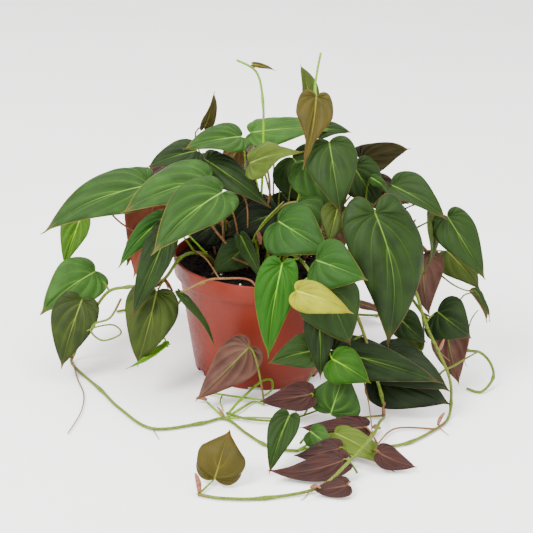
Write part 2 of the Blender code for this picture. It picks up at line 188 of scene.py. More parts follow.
# Stems: radius, colouring, and route in millimetres, as in the CAD layout. A foot in the soil is typed
# without its height.
STEMS = {
    "stem_left_trailer": (VINE_RADIUS, "olive_stem", [
        (-38, -10), (-44, -14, 102), (-56, -21, 108), (-68, -28, 105), (-80, -38, 90), (-95, -38, 84),
        (-110, -34, 80), (-126, -30, 74), (-138, -23, 56), (-150, -15, 30), (-158, -12, 8), (-158, -24, 2),
        (-129, -69, 2), (-109, -102, 2), (-80, -134, 2), (-43, -122, 2), (-24, -112, 2), (-7, -134, 2),
        (7, -151, 2), (20, -159, 2), (34, -160, 2)]),
    "stem_front_trailer": (VINE_RADIUS, "olive_stem", [
        (38, -28), (46, -42, 106), (60, -58, 108), (72, -74, 94), (84, -88, 70), (92, -93, 46),
        (101, -93, 20), (104, -98, 4), (98, -128, 13), (90, -164, 20), (70, -203, 17), (48, -219, 4),
        (10, -233, 2), (-20, -236, 2), (-38, -232, 2)]),
    "stem_right_trailer": (VINE_RADIUS, "olive_stem", [
        (46, -6), (58, -12, 108), (76, -20, 114), (96, -30, 116), (112, -40, 112), (126, -49, 94),
        (136, -55, 68), (148, -62, 46), (158, -72, 26), (159, -84, 10), (156, -95, 2), (146, -112, 2),
        (122, -138, 2), (102, -148, 2)]),
    "stem_right_loop": (VINE_RADIUS, "olive_stem", [
        (32, 24), (48, 30, 112), (76, 30, 114), (108, 14, 92), (138, -8, 58), (162, -18, 36),
        (178, -18, 29), (190, -15, 26), (199, -18, 18), (201, -28, 9), (190, -42, 2), (178, -37, 2)]),
    "stem_top_left": (SHOOT_RADIUS, "lime_stem", [
        (-6, 6), (-3, 4, 150), (-3, 5, 198), (-5, 5, 234), (-11, 0, 258), (-27, -8, 269)]),
    "stem_top_right": (SHOOT_RADIUS, "lime_stem", [
        (16, 0), (24, -2, 130), (30, -3, 165), (35, 0, 203), (37, 2, 249), (40, 0, 276)]),
    "stem_right_arm": (VINE_RADIUS, "red_stem", [
        (34, 8), (44, 8, 118), (62, 5, 140), (85, 0, 142), (105, 0, 134), (122, 0, 127),
        (138, 3, 110), (150, 6, 90)]),
    "stem_left_arm": (VINE_RADIUS, "red_stem", [
        (-32, 12), (-38, 16, 130), (-52, 20, 158), (-72, 24, 168), (-92, 26, 160), (-112, 28, 148),
        (-132, 30, 134), (-150, 30, 119)]),
    "stem_front_arm": (VINE_RADIUS, "olive_stem", [
        (14, -32), (20, -46, 118), (30, -62, 122), (40, -76, 114), (47, -86, 98), (51, -92, 80),
        (54, -102, 66)]),
    "stem_back_left": (VINE_RADIUS, "olive_stem", [
        (-24, 32), (-36, 52, 108), (-52, 70, 104), (-62, 84, 78), (-70, 92, 34), (-80, 104, 7),
        (-108, 112, 2), (-134, 96, 2)]),
    "stem_back_right": (VINE_RADIUS, "olive_stem", [
        (24, 36), (38, 56, 110), (52, 74, 102), (60, 86, 66), (66, 96, 22), (78, 110, 5),
        (112, 114, 2)]),
}

# Leaves that stand for CAD nodes: name, notch, tip, width, facing, root of the stalk, colouring, and
# any changes of form. Facing is an azimuth and an elevation in degrees, with 0 the front and 90 the
# right. A root is a place in the soil, a stem with the number of one of its points, or a point.
LEAVES = [
    ("leaf_left_long", (-96, 0, 159), (-181, -30, 128), 52, (0, 60), ("stem_left_arm", 3), "mid",
     {"hook": 0.08}),
    ("leaf_left_middle", (-45, -25, 175), (-111, -60, 158), 50, (0, 60), ("stem_left_arm", 1), "mid"),
    ("leaf_left_front", (-34, -55, 173), (-84, -98, 137), 46, (5, 52), (SOIL, -18, -18), "mid",
     {"tint": 0.0, "fold": 0.26}),
    ("leaf_left_lime", (-158, 30, 117), (-170, 10, 80), 26, (-15, 20), ("stem_left_arm", 6), "spring",
     {"fold": 0.5}),
    ("leaf_left_rust", (-92, 10, 146), (-106, -12, 82), 50, (170, -10), ("stem_left_arm", 2), "rust",
     {"cup": 0.1}),
    ("leaf_left_folded", (-77, -48, 137), (-103, -80, 72), 29, (-24, 22), ("stem_left_trailer", 2),
     "deep", {"fold": 0.42, "lean": -0.04}),
    ("leaf_far_left", (-142, 0, 79), (-183, -30, 53), 46, (-5, 45), ("stem_left_trailer", 7), "mid"),
    ("leaf_low_left", (-148, -38, 68), (-163, -58, 16), 40, (-10, 20), ("stem_left_trailer", 8),
     "olive"),
    ("leaf_beside_pot", (-84, -62, 88), (-97, -80, 31), 44, (-5, 20), ("stem_left_trailer", 4),
     "olive"),
    ("leaf_top_flat", (-22, 17, 199), (-66, -9, 197), 34, (0, 58), (SOIL, -14, 20), "mid"),
    ("leaf_shaded_left", (-50, 8, 180), (4, -14, 150), 34, (0, 60), (SOIL, -15, 1), "deep"),
    ("leaf_top_right_flat", (-13, 32, 199), (56, 18, 210), 36, (0, 62), (SOIL, 0, 26), "mid"),
    ("leaf_khaki_top", (-13, -8, 184), (27, -32, 203), 34, (-10, 45), (SOIL, 5, -11), "khaki",
     {"drip": 0.45}),
    ("leaf_copper_top", (38, -12, 243), (30, -42, 193), 30, (0, 15), ("stem_top_right", 4), "copper",
     {"fold": 0.3, "drip": 0.62}),
    ("leaf_crown_front", (50, -25, 209), (61, -55, 161), 43, (0, 25), ("stem_top_right", 2), "deep"),
    ("leaf_crown_dark", (22, 22, 181), (58, 8, 142), 50, (0, 30), (SOIL, 12, 14), "deep"),
    ("leaf_crown_right", (73, 16, 178), (97, 10, 142), 38, (10, 30), ("stem_right_arm", 2), "deep"),
    ("leaf_upturned", (80, 38, 179), (119, 23, 195), 32, (170, 25), (SOIL, 26, 18), "dusk",
     {"cup": 0.5}),
    ("leaf_right_shoulder", (105, -5, 169), (148, -30, 152), 34, (20, 50), ("stem_right_arm", 3),
     "deep", {"fold": 0.6, "cup": 0.1}),
    ("leaf_far_right", (152, -10, 146), (184, -35, 103), 36, (15, 22), ("stem_right_arm", 5), "deep"),
    ("leaf_olive_right", (158, 16, 106), (187, 2, 79), 32, (20, 20), ("stem_right_arm", 6), "olive"),
    ("leaf_red_back", (134, -15, 112), (141, -23, 64), 34, (190, -10), ("stem_right_arm", 5), "deep"),
    ("leaf_large_front", (88, -60, 163), (104, -97, 67), 60, (4, 18), ("stem_right_arm", 2), "deep",
     {"lean": -0.08, "skew": 0.03, "twist": 0.16, "lobe": 1.7}),
    ("leaf_centre_bright", (12, -50, 149), (52, -80, 136), 48, (0, 30), (SOIL, 4, -26), "fresh"),
    ("leaf_centre_behind", (27, -22, 156), (46, -40, 136), 40, (0, 30), (SOIL, 14, -14), "mid"),
    ("leaf_centre_right", (43, -90, 132), (80, -110, 126), 42, (5, 22), ("stem_front_arm", 3), "fresh"),
    ("leaf_front_long", (16, -84, 125), (8, -106, 56), 33, (-8, 18), ("stem_front_arm", 2), "bright",
     {"fold": 0.35}),
    ("leaf_front_yellow", (28, -116, 116), (70, -128, 105), 26, (0, 28), ("stem_front_arm", 3),
     "yellow", {"skew": 0.12}),
    ("leaf_front_dark", (50, -97, 113), (72, -108, 70), 50, (0, 18), ("stem_front_arm", 4), "deep"),
    ("leaf_front_narrow", (46, -98, 90), (50, -112, 42), 24, (-10, 15), ("stem_front_arm", 5), "deep"),
    ("leaf_pink_back", (-7, -84, 53), (-47, -94, 10), 35, (180, -15), (7, -84, 3), "deep"),
    ("leaf_front_lime", (59, -114, 59), (88, -127, 47), 32, (0, 32), ("stem_front_arm", 6), "lime"),
    ("leaf_front_round", (60, -117, 14), (70, -103, 44), 42, (0, 22), ("stem_front_trailer", 7), "mid"),
    ("leaf_large_low", (98, -66, 42), (154, -100, 30), 44, (0, 48), ("stem_front_trailer", 4), "shade"),
    ("leaf_right_round", (148, -34, 70), (175, -48, 55), 42, (10, 18), ("stem_right_trailer", 6),
     "deep", {"hook": 0.2}),
    ("leaf_right_maroon", (158, -24, 50), (170, -38, 8), 32, (185, 0), ("stem_right_loop", 4), "deep"),
    ("leaf_floor_hanging", (26, -172, 38), (13, -198, 4), 22, (-8, 20), ("stem_left_trailer", 19),
     "deep", {"fold": 0.4}),
    ("leaf_floor_khaki", (63, -146, 11), (105, -187, 5), 30, (0, 74), ("stem_left_trailer", 20),
     "khaki"),
    ("leaf_floor_copper", (-27, -217, 7), (-20, -210, 38), 34, (-8, 10), ("stem_front_trailer", 14),
     "copper", {"fold": 0.3, "hook": 0.5, "cup": 0.5, "drip": -0.45}),
    ("leaf_floor_purple", (68, -192, 13), (13, -206, 7), 26, (180, -66), (78, -194, 4), "plum"),
    ("leaf_back_left_high", (-60, 62, 168), (-112, 90, 128), 44, (-150, 40), (SOIL, -30, 30), "deep"),
    ("leaf_back_middle_high", (-10, 72, 176), (-22, 122, 132), 48, (178, 40), (SOIL, -8, 38), "mid"),
    ("leaf_back_right_high", (52, 62, 172), (88, 106, 130), 46, (150, 38), (SOIL, 24, 28), "deep"),
    ("leaf_back_left_low", (-46, 98, 112), (-58, 118, 58), 44, (-165, 18), ("stem_back_left", 2),
     "mid"),
    ("leaf_back_middle_low", (4, 92, 122), (8, 116, 66), 46, (180, 18), (SOIL, 6, 46), "deep"),
    ("leaf_back_right_low", (56, 106, 100), (70, 124, 48), 42, (165, 18), ("stem_back_right", 3),
     "olive"),
    ("leaf_back_top", (6, 48, 200), (0, 90, 194), 38, (180, 60), (SOIL, 8, 36), "mid"),
]

# Smaller and hidden leaves with no CAD node of their own.
SMALL_LEAVES = [
    ("leaf_left_crescent", (-74, -72, 46), (-106, -88, 32), 8, (10, 84), (-84, -60, 58), "spring",
     {"fold": 1.1, "arch": -0.35}),
    ("leaf_low_behind", (60, -95, 58), (146, -99, 37), 36, (0, 44), ("stem_front_trailer", 4), "deep"),
    ("leaf_low_dark", (116, -42, 66), (138, -52, 50), 26, (10, 20), ("stem_right_trailer", 5), "deep"),
    ("leaf_low_olive", (136, -38, 36), (98, -34, 34), 24, (0, 40), ("stem_right_loop", 4), "olive"),
    ("leaf_brown_top", (88, 20, 162), (121, 8, 149), 26, (180, -25), ("stem_right_arm", 2), "shade"),
    ("leaf_crown_blue", (32, -8, 187), (59, -18, 148), 40, (0, 28), (SOIL, 18, -6), "mid"),
    ("leaf_shoot_bract", (-14, -3, 265), (4, -5, 262), 5, (0, 40), (-13, -1, 262), "copper",
     {"fold": 0.5}),
    ("leaf_crown_far", (42, 22, 205), (68, 14, 209), 18, (0, 55), (SOIL, 18, 22), "deep"),
    ("leaf_red_bud", (178, -4, 77), (194, -15, 56), 16, (60, 10), ("stem_right_loop", 6), "copper",
     {"fold": 0.9}),
    ("leaf_low_brown", (44, -114, 28), (4, -120, 22), 24, (180, -40), (40, -100, 3), "plum"),
    ("leaf_purple_behind", (66, -172, 12), (32, -178, 7), 22, (180, -60), (74, -168, 3), "plum"),
    # Dark leaves inside the pot, in the shade colouring: painted shade over the pot's inner wall.
    ("leaf_inner_dark", (10, -4, 140), (-30, -18, 124), 36, (0, 45), (SOIL, 2, -2), "shade"),
    ("leaf_inner_deep", (24, 0, 132), (48, -20, 112), 36, (0, 30), (SOIL, 14, -8), "shade"),
    ("leaf_inner_back", (-6, 20, 150), (-40, 12, 128), 40, (0, 40), (SOIL, -6, 10), "shade"),
    ("leaf_inner_low", (-20, 34, 124), (-52, 40, 98), 40, (0, 30), (SOIL, -16, 22), "shade"),
    ("leaf_inner_rear", (-2, 44, 128), (-8, 52, 96), 42, (0, 30), (SOIL, -4, 30), "shade"),
    ("leaf_inner_side", (34, 30, 124), (52, 40, 98), 38, (0, 30), (SOIL, 26, 22), "shade"),
    ("leaf_inner_edge", (-40, 14, 122), (-64, 20, 100), 34, (0, 30), (SOIL, -34, 8), "shade"),
    ("leaf_inner_far", (14, 34, 146), (40, 26, 118), 40, (0, 30), (SOIL, 10, 20), "shade"),
    ("leaf_left_young", (-81, -24, 140), (-116, -54, 108), 24, (10, 65), ("stem_left_trailer", 1),
     "bright"),
    ("leaf_left_behind", (-60, 34, 180), (-99, 16, 170), 32, (0, 55), ("stem_left_arm", 2), "deep"),
    ("leaf_pot_strap", (-64, -82, 96), (-33, -93, 57), 15, (78, 12), (-44, -78, 105), "deep",
     {"fold": 0.2}),
    ("leaf_upright_bud", (-54, 42, 198), (-45, 42, 228), 15, (42, 0), (SOIL, -16, 30), "tan",
     {"fold": 0.4}),
    ("leaf_yellow_back", (-24, 30, 185), (-35, 18, 167), 22, (180, -20), (SOIL, -18, 26), "khaki"),
    ("leaf_dark_tip", (33, 12, 232), (25, 20, 261), 18, (40, 0), ("stem_top_right", 3), "khaki",
     {"fold": 0.6}),
    ("leaf_right_small", (88, 4, 172), (103, -2, 163), 11, (0, 40), ("stem_right_arm", 3), "mid"),
    ("leaf_edge_on_right", (135, -12, 155), (139, -24, 100), 26, (66, 10), ("stem_right_arm", 4),
     "olive", {"fold": 0.5}),
    ("leaf_strap_right", (108, -24, 156), (130, -44, 116), 22, (64, 26), ("stem_right_arm", 3), "deep",
     {"fold": 0.4}),
    ("leaf_olive_inner", (59, -46, 162), (52, -64, 137), 24, (0, 20), (SOIL, 24, -20), "olive"),
    ("leaf_front_small", (46, -100, 60), (10, -108, 51), 28, (0, 34), ("stem_front_arm", 6), "deep",
     {"fold": 0.4}),
    ("leaf_under_large", (97, -76, 30), (155, -98, 18), 46, (0, 34), ("stem_front_trailer", 6),
     "shade"),
    ("leaf_right_sliver", (180, -15, 83), (195, -25, 61), 10, (60, 20), ("stem_right_arm", 7), "deep",
     {"fold": 0.5}),
    ("leaf_floor_brown", (86, -140, 14), (36, -138, 10), 22, (180, -50), (96, -146, 3), "plum"),
    ("leaf_floor_green", (43, -158, 18), (60, -168, 10), 20, (0, 40), (36, -150, 3), "mid"),
    ("leaf_floor_maroon", (94, -180, 14), (122, -184, 5), 20, (180, -50), (88, -160, 3), "plum"),
    ("leaf_floor_small", (70, -220, 8), (44, -226, 5), 18, (180, -60), (72, -206, 3), "plum"),
    ("leaf_inside_pot", (-14, -24, 116), (-40, -46, 101), 32, (0, 50), (SOIL, -6, -12), "deep"),
    ("leaf_inside_narrow", (-18, -36, 130), (3, -62, 100), 13, (0, 40), (SOIL, -8, -18), "deep"),
    ("leaf_back_left_side", (-92, 44, 112), (-124, 66, 66), 38, (-130, 20), (SOIL, -40, 22), "olive"),
    ("leaf_back_right_side", (96, 50, 122), (126, 76, 76), 40, (130, 20), (SOIL, 36, 26), "deep"),
    ("leaf_side_right", (86, 46, 128), (116, 58, 82), 36, (70, 25), (SOIL, 38, 14), "deep"),
    ("leaf_side_right_low", (92, 30, 88), (110, 38, 40), 34, (80, 15), ("stem_right_loop", 2), "mid"),
    ("leaf_side_left", (-80, 42, 112), (-98, 52, 62), 34, (-75, 20), (SOIL, -40, 14), "mid"),
    ("leaf_back_floor_left", (-92, 100, 16), (-118, 88, 10), 26, (-160, 55), ("stem_back_left", 6),
     "olive"),
    ("leaf_back_floor_right", (92, 104, 18), (118, 98, 10), 26, (160, 50), ("stem_back_right", 5),
     "mid"),
]

# Thin shoots, side stems and tendrils: name, radius, colouring and route in millimetres.
SIDE_STEMS = [
    ("stem_left_brown", 0.9, "red_stem", [
        (-132, -4, 138), (-120, 0, 124), (-103, 4, 112), (-84, -8, 102), (-68, -27, 105)]),
    ("stem_curl", 1.0, "olive_stem", [
        (-114, -50, 76), (-122, -58, 62), (-134, -60, 57), (-137, -60, 49), (-127, -62, 43),
        (-113, -60, 49), (-119, -57, 55), (-132, -54, 52), (-143, -52, 46)]),
    ("stem_hanging_shoot", 0.7, "red_stem", [
        (-158, -22, 3), (-150, -52, 2), (-141, -80, 2), (-139, -112, 2), (-144, -148, 2)]),
    ("stem_branch_upper", 1.2, "lime_stem", [
        (-24, -112, 2), (-33, -98, 3), (-40, -84, 2)]),
    ("stem_branch_pot", 1.2, "lime_stem", [
        (-24, -112, 2), (-12, -96, 3), (-2, -80, 2), (7, -84, 2)]),
    ("stem_branch_side", 1.0, "lime_stem", [
        (-24, -112, 2), (-4, -110, 3), (20, -108, 2)]),
    ("stem_branch_tip", 1.2, "lime_stem", [(34, -160, 2), (41, -152, 3), (42, -142, 2)]),
    ("stem_branch_loop", 1.2, "lime_stem", [
        (-22, -104, 2), (-14, -89, 6), (-5, -76, 10), (4, -65, 14), (12, -62, 14), (13, -67, 8),
        (7, -70, 3)]),
    ("stem_branch_low", 1.2, "olive_stem", [
        (-23, -104, 3), (-4, -115, 4), (24, -112, 3), (51, -92, 3)]),
    ("stem_branch_side_two", 1.0, "lime_stem", [
        (-41, -68, 3), (-20, -79, 6), (5, -82, 5), (17, -86, 4), (28, -104, 2)]),
    ("stem_branch_stub", 0.8, "lime_stem", [(-28, -72, 2), (-29, -84, 3), (-26, -98, 2)]),
    ("stem_red_side", 0.9, "red_stem", [(144, -114, 2), (112, -118, 3), (96, -146, 3)]),
    ("stem_loop_shoot", 0.7, "olive_stem", [(176, -20, 30), (179, -15, 54), (185, -12, 64)]),
    ("stem_rim_brown", 0.9, "red_stem", [(-56, -20, 109), (-45, -46, 112), (-33, -77, 108)]),
    ("stem_rim_olive", 1.1, "red_stem", [
        (-62, -83, 97), (-44, -78, 106), (-28, -76, 108), (-8, -76, 107), (2, -88, 96)]),
    ("stem_inner_red", 0.9, "red_stem", [
        (-28, 4, 166), (-24, 0, 160), (-15, -4, 148), (-13, -16, 128), (-12, -22, 88)]),
    ("stem_inner_thick", 1.2, "olive_stem", [
        (27, -20, 156), (14, -20, 151), (-6, -28, 129), (-4, -32, 118), (0, -38, 88)]),
    ("stem_inner_left", 1.2, "red_stem", [
        (-30, -6, 84), (-33, -10, 120), (-36, -4, 150), (-40, 6, 168)]),
    ("stem_inner_centre", 1.3, "red_stem", [(6, 4, 84), (2, 2, 130), (4, -2, 160), (0, -6, 184)]),
    ("stem_inner_twist", 1.1, "olive_stem", [(12, 6, 84), (10, 10, 128), (2, 12, 160), (-8, 14, 190)]),
    ("stem_inner_short", 1.3, "red_stem", [
        (-20, -22, 84), (-26, -26, 112), (-40, -18, 128), (-52, -8, 142)]),
    ("stem_inner_cross", 1.0, "olive_stem", [
        (0, -20, 84), (-10, -22, 110), (-2, -26, 136), (16, -20, 156)]),
    ("stem_inner_low", 1.2, "red_stem", [
        (28, -22, 84), (14, -36, 104), (-4, -42, 106), (-24, -40, 112)]),
    ("stem_inner_right", 1.2, "red_stem", [
        (40, -10, 84), (48, -14, 118), (44, -22, 140), (30, -20, 152)]),
    ("stem_right_front", 1.1, "olive_stem", [
        (146, -60, 4), (152, -52, 21), (165, -45, 27), (179, -32, 30), (188, -18, 28)]),
    ("stem_front_left", 0.8, "olive_stem", [(47, -98, 46), (36, -86, 12), (32, -108, 4)]),
    ("stem_front_red", 0.7, "red_stem", [(86, -95, 32), (90, -112, 20), (93, -130, 3)]),
]

# Papery bracts at nodes: foot, tip and width in millimetres.
SHEATHS = [
    ((-80, -38, 91), (-72, -44, 82), 6), ((-79, -37, 90), (-88, -44, 84), 5),
    ((-159, -18, 4), (-164, -24, 12), 6), ((-25, -112, 3), (-31, -104, 8), 5),
    ((-40, -84, 3), (-49, -84, 5), 7), ((-38, -232, 3), (-41, -226, 16), 7),
    ((43, -218, 3), (50, -226, 8), 6), ((100, -120, 3), (92, -132, 10), 7),
    ((104, -98, 4), (106, -92, 16), 6), ((147, -110, 3), (152, -104, 12), 6),
    ((178, -18, 31), (180, -14, 40), 6), ((122, 0, 129), (127, -4, 140), 5),
    ((85, 0, 144), (90, -6, 153), 6), ((-5, -28, 131), (-2, -34, 122), 7),
    ((47, -86, 99), (40, -96, 94), 6), ((51, -92, 80), (42, -100, 84), 6),
    ((2, -88, 97), (8, -92, 104), 5), ((148, -62, 47), (152, -58, 56), 5),
    ((-36, 52, 109), (-42, 56, 116), 6), ((60, 86, 67), (66, 90, 72), 6),
]

# Short air roots at nodes: start and two further points in millimetres, and their shape.
AIR_ROOT_RADIUS = 0.5
AIR_ROOT_TAPER = 0.6
AIR_ROOT_STEPS = 4
AIR_ROOTS = [
    ((-79, -38, 90), (-76, -44, 84), (-70, -47, 82)), ((-80, -38, 90), (-84, -43, 84), (-90, -42, 82)),
    ((-80, -134, 2), (-76, -142, 1), (-73, -150, 1)), ((43, -218, 2), (40, -226, 1), (36, -232, 1)),
    ((147, -110, 2), (150, -114, 1), (154, -122, 1)), ((148, -62, 46), (154, -64, 42), (158, -62, 38)),
    ((178, -18, 29), (176, -24, 22), (178, -28, 18)), ((51, -92, 80), (44, -98, 78), (40, -102, 74)),
]


def linear(code):
    """A colour typed as sRGB hex, as the linear values that a shader takes."""
    values = []
    for start in (1, 3, 5):
        part = int(code[start:start + 2], 16) / 255
        values.append(part / 12.92 if part <= 0.04045 else ((part + 0.055) / 1.055) ** 2.4)
    return (*values, 1)


def feed(tree, node, inputs):
    """Give a node's inputs, by name or in order, a number, a hex colour, another node or its output."""
    for key, value in inputs.items() if isinstance(inputs, dict) else enumerate(inputs):
        if isinstance(value, bpy.types.Node):
            value = next(output for output in value.outputs if output.enabled)
        if isinstance(value, bpy.types.NodeSocket):
            tree.links.new(value, node.inputs[key])
        else:
            node.inputs[key].default_value = linear(value) if isinstance(value, str) else value


def add(tree, kind, inputs=(), **settings):
    """Add a shader node with its settings, and feed it."""
    made = tree.nodes.new(f"ShaderNode{kind}")
    for name, value in settings.items():
        setattr(made, name, value)
    feed(tree, made, inputs)
    return made


# With this setting a Map Range node fades smoothly. Its inputs are a measure, the low and the high
# level of it, and the share at each.
SMOOTH = {"interpolation_type": "SMOOTHSTEP"}


def new_material(name):
    made = bpy.data.materials.new(name)
    made.use_nodes = True
    return made, made.node_tree, made.node_tree.nodes["Principled BSDF"]


def per_metre(size):
    """The scale of a pattern whose grains or cells are this many millimetres across."""
    return 1 / (size * MM)


def paint_over(tree, colour, layers):
    """Lay colours over a first one, each where its pattern lies and as strongly as given."""
    for pattern, strength, code in layers:
        share = add(tree, "Math", [pattern, strength], operation="MULTIPLY")
        colour = add(tree, "Mix", {0: share, 6: colour, 7: code}, data_type="RGBA")
    return colour


def relief(tree, strength, depth, patterns):
    """Raise or sink a surface by several patterns, each with its weight, to a depth in metres."""
    height = 0.0
    for pattern, weight in patterns:
        height = add(tree, "Math", [pattern, weight, height], operation="MULTIPLY_ADD")
    return add(tree, "Bump", {"Strength": strength, "Distance": depth, "Height": height})


def leaf_pattern(tree):
    """Shares for a blade's midrib, side veins, the paler bands beside them (painted light and shade of the
    quilted surface), its margin and its tip.
    """
    sheet = add(tree, "SeparateXYZ", [add(tree, "UVMap", uv_map="vein_map")])
    place = add(tree, "Attribute", attribute_name="blade_place")
    parts = add(tree, "SeparateXYZ", [place.outputs["Vector"]])
    from_rib, down, tint = parts.outputs
    centred = add(tree, "Math", [sheet.outputs["X"], 0.5], operation="SUBTRACT")
    aside = add(tree, "Math", [centred], operation="ABSOLUTE")
    outward = add(tree, "Math", [aside, 2], operation="MULTIPLY")
    # The midrib is widest at the stalk and thins to the tip.
    taper = add(tree, "Math", [MIDRIB_END, down], operation="SUBTRACT")
    across_rib = add(tree, "Math", [from_rib, taper], operation="DIVIDE")
    # Side veins: how far a point is from the nearest one, where 1 is halfway to the next.
    count = add(tree, "Math", [sheet.outputs["Y"], VEIN_PAIRS], operation="MULTIPLY")
    shifted = add(tree, "Math", [count, 0.5], operation="ADD")
    phase = add(tree, "Math", [shifted], operation="FRACT")
    phase_centred = add(tree, "Math", [phase, 0.5], operation="SUBTRACT")
    phase_aside = add(tree, "Math", [phase_centred], operation="ABSOLUTE")
    away = add(tree, "Math", [phase_aside, 2], operation="MULTIPLY")
    width = add(tree, "MapRange", [outward, 0.0, 0.9, 0.17, 0.055], **SMOOTH)
    across_vein = add(tree, "Math", [away, width], operation="DIVIDE")
    # Fine veins, several to each side vein.
    fine_count = add(tree, "Math", [count, FINE_VEINS], operation="MULTIPLY")
    fine_phase = add(tree, "Math", [fine_count], operation="FRACT")
    fine_centred = add(tree, "Math", [fine_phase, 0.5], operation="SUBTRACT")
    fine_away = add(tree, "Math", [fine_centred], operation="ABSOLUTE")
    fades = {
        "midrib": [(across_rib, 0.25, 0.75, 1, 0), (down, 0.05, 0.8, 1, 0.25)],
        "vein": [(across_vein, 0.2, 1.0, 1, 0), (outward, 0.15, 0.9, 1, 0.12)],
        "band": [(away, 0.0, 0.8, 1, 0), (outward, 0.3, 1.0, 1, 0.3)],
        "fine": [(fine_away, 0.0, 0.2, 1, 0)],
        "margin": [(outward, 0.972, 0.995, 0, 1)],
        "tip": [(down, 0.86, 1.0, 0, 1)],
    }
    pattern = {"tint": tint}
    for part, steps in fades.items():
        share = 1.0
        for step in steps:
            faded = add(tree, "MapRange", step, **SMOOTH)
            share = add(tree, "Math", [share, faded], operation="MULTIPLY")
        pattern[part] = share
    return pattern


# Blades by colouring: shade, body, band beside the veins (painted light of the quilting), vein, margin
# and tip, and the underside's two tones.
COLOURINGS = {
    "deep": ("#0D1A04", "#1B2F09", "#263D0F", "#6C9030", "#6E4C30", "#38201A", "#5A3A2E"),
    # The shade colouring is a darker copy of the leaf colours for leaves under others and inside the pot:
    # painted shade.
    "shade": ("#0A1204", "#142009", "#1A2B0D", "#4E6828", "#4A3420", "#22180E", "#3C2A1A"),
    "fresh": ("#0F2404", "#1C3C09", "#28500F", "#78A838", "#7E5E38", "#44261A", "#684634"),
    "mid": ("#1D350C", "#315419", "#3E6820", "#88B444", "#8C6840", "#44261A", "#684634"),
    "bright": ("#0F2C02", "#1D4905", "#2A5A09", "#8CC438", "#76862C", "#244A0C", "#427018"),
    "lime": ("#132E01", "#234B01", "#2F5C02", "#8CB61C", "#74741A", "#345206", "#54740F"),
    "yellow": ("#626406", "#8C8E0E", "#9C9A18", "#C4CC48", "#A87020", "#867210", "#9C8424"),
    "copper": ("#262607", "#3F370C", "#4C4210", "#8A8434", "#7C3E1C", "#44240E", "#623A16"),
    "khaki": ("#303C0F", "#495A18", "#566820", "#94A848", "#885A34", "#4A3618", "#665026"),
    "tan": ("#2E2A0A", "#463E11", "#564C18", "#8A8C38", "#80502C", "#4A3618", "#665026"),
    "olive": ("#1A2509", "#2F3B0C", "#3D4C12", "#84963A", "#624824", "#34200E", "#563A1C"),
    "rust": ("#0D1A04", "#1B2F09", "#263D0F", "#8A5A34", "#6E4C30", "#4E2010", "#6E341A"),
    "spring": ("#2C4A06", "#446C08", "#588410", "#A0C034", "#84841E", "#4A6A10", "#668418"),
    "dusk": ("#16200A", "#20300C", "#2E4212", "#4E4A28", "#84401C", "#28260F", "#3C3518"),
    "plum": ("#0D1A04", "#1B2F0A", "#263D0F", "#6A4A34", "#5A3220", "#200E0C", "#3A1C16"),
}
LIME_STALKED = ("lime", "spring", "yellow", "bright", "khaki", "copper")

# Stems by colouring: darker streaks, lighter streaks and the flush.
STEM_COLOURS = {
    "lime_stem": ("#527808", "#7CA41E", "#66701A"),
    "olive_stem": ("#3E4E08", "#66781A", "#5E3418"),
    "red_stem": ("#54361C", "#7C5C30", "#6C2E1C"),
}


def velvet_leaf(name, colours):
    """Fresh leaf skin: its papillae give a velvet bloom, and veins sit in shallow pale grooves."""
    shade, body, band, vein, margin = colours[:5]
    made, tree, shader = new_material(f"velvet_leaf_{name}")
    pattern = leaf_pattern(tree)
    place = add(tree, "TexCoord").outputs["Object"]
    # Paler and darker patches about as wide as a fingertip.
    cloud = add(tree, "TexNoise", {"Vector": place, "Scale": per_metre(16.7), "Detail": 3.0})
    # Papillae, drawn 0.4 mm across where real ones are 0.05 mm, so that they show.
    grain = add(tree, "TexNoise", {"Vector": place, "Scale": per_metre(0.42), "Detail": 2.0})
    # The net of the smallest veins, with cells about 2 mm wide.
    net = add(tree, "TexVoronoi", {"Vector": place, "Scale": per_metre(1.92)},
              feature="DISTANCE_TO_EDGE")
    net_line = add(tree, "MapRange", [net, 0.0, 0.12, 1, 0], **SMOOTH)
    clouded = add(tree, "Math", [cloud, 0.8], operation="MULTIPLY")
    uneven = add(tree, "Math", [pattern["tint"], 0.5, clouded], operation="MULTIPLY_ADD")
    colour = paint_over(tree, shade, [
        (add(tree, "MapRange", [uneven, 0.35, 0.85, 0, 1], **SMOOTH), 1, body),
        # The band beside the veins is painted light and shade of the quilting: paler by the veins, darker
        # between them.
        (pattern["band"], 0.30, band), (pattern["fine"], 0.12, shade), (pattern["vein"], 0.13, vein),
        (pattern["midrib"], 0.58, vein), (pattern["margin"], 0.45, margin),
        (pattern["tip"], 0.24, margin), (net_line, 0.07, band)])
    feed(tree, shader, {
        "Base Color": colour,
        "Roughness": add(tree, "MapRange", [grain, 0.3, 0.7, 0.44, 0.58], **SMOOTH),
        "IOR": 1.42, "Specular IOR Level": 0.16,
        "Sheen Weight": 0.035, "Sheen Roughness": 0.35, "Sheen Tint": "#C8E0A8",
        "Normal": relief(tree, 0.8, 0.5 * MM, [
            (pattern["vein"], -0.8), (pattern["midrib"], -0.8), (net_line, -0.10),
            (pattern["fine"], -0.15), (grain, 0.22)])})
    return made


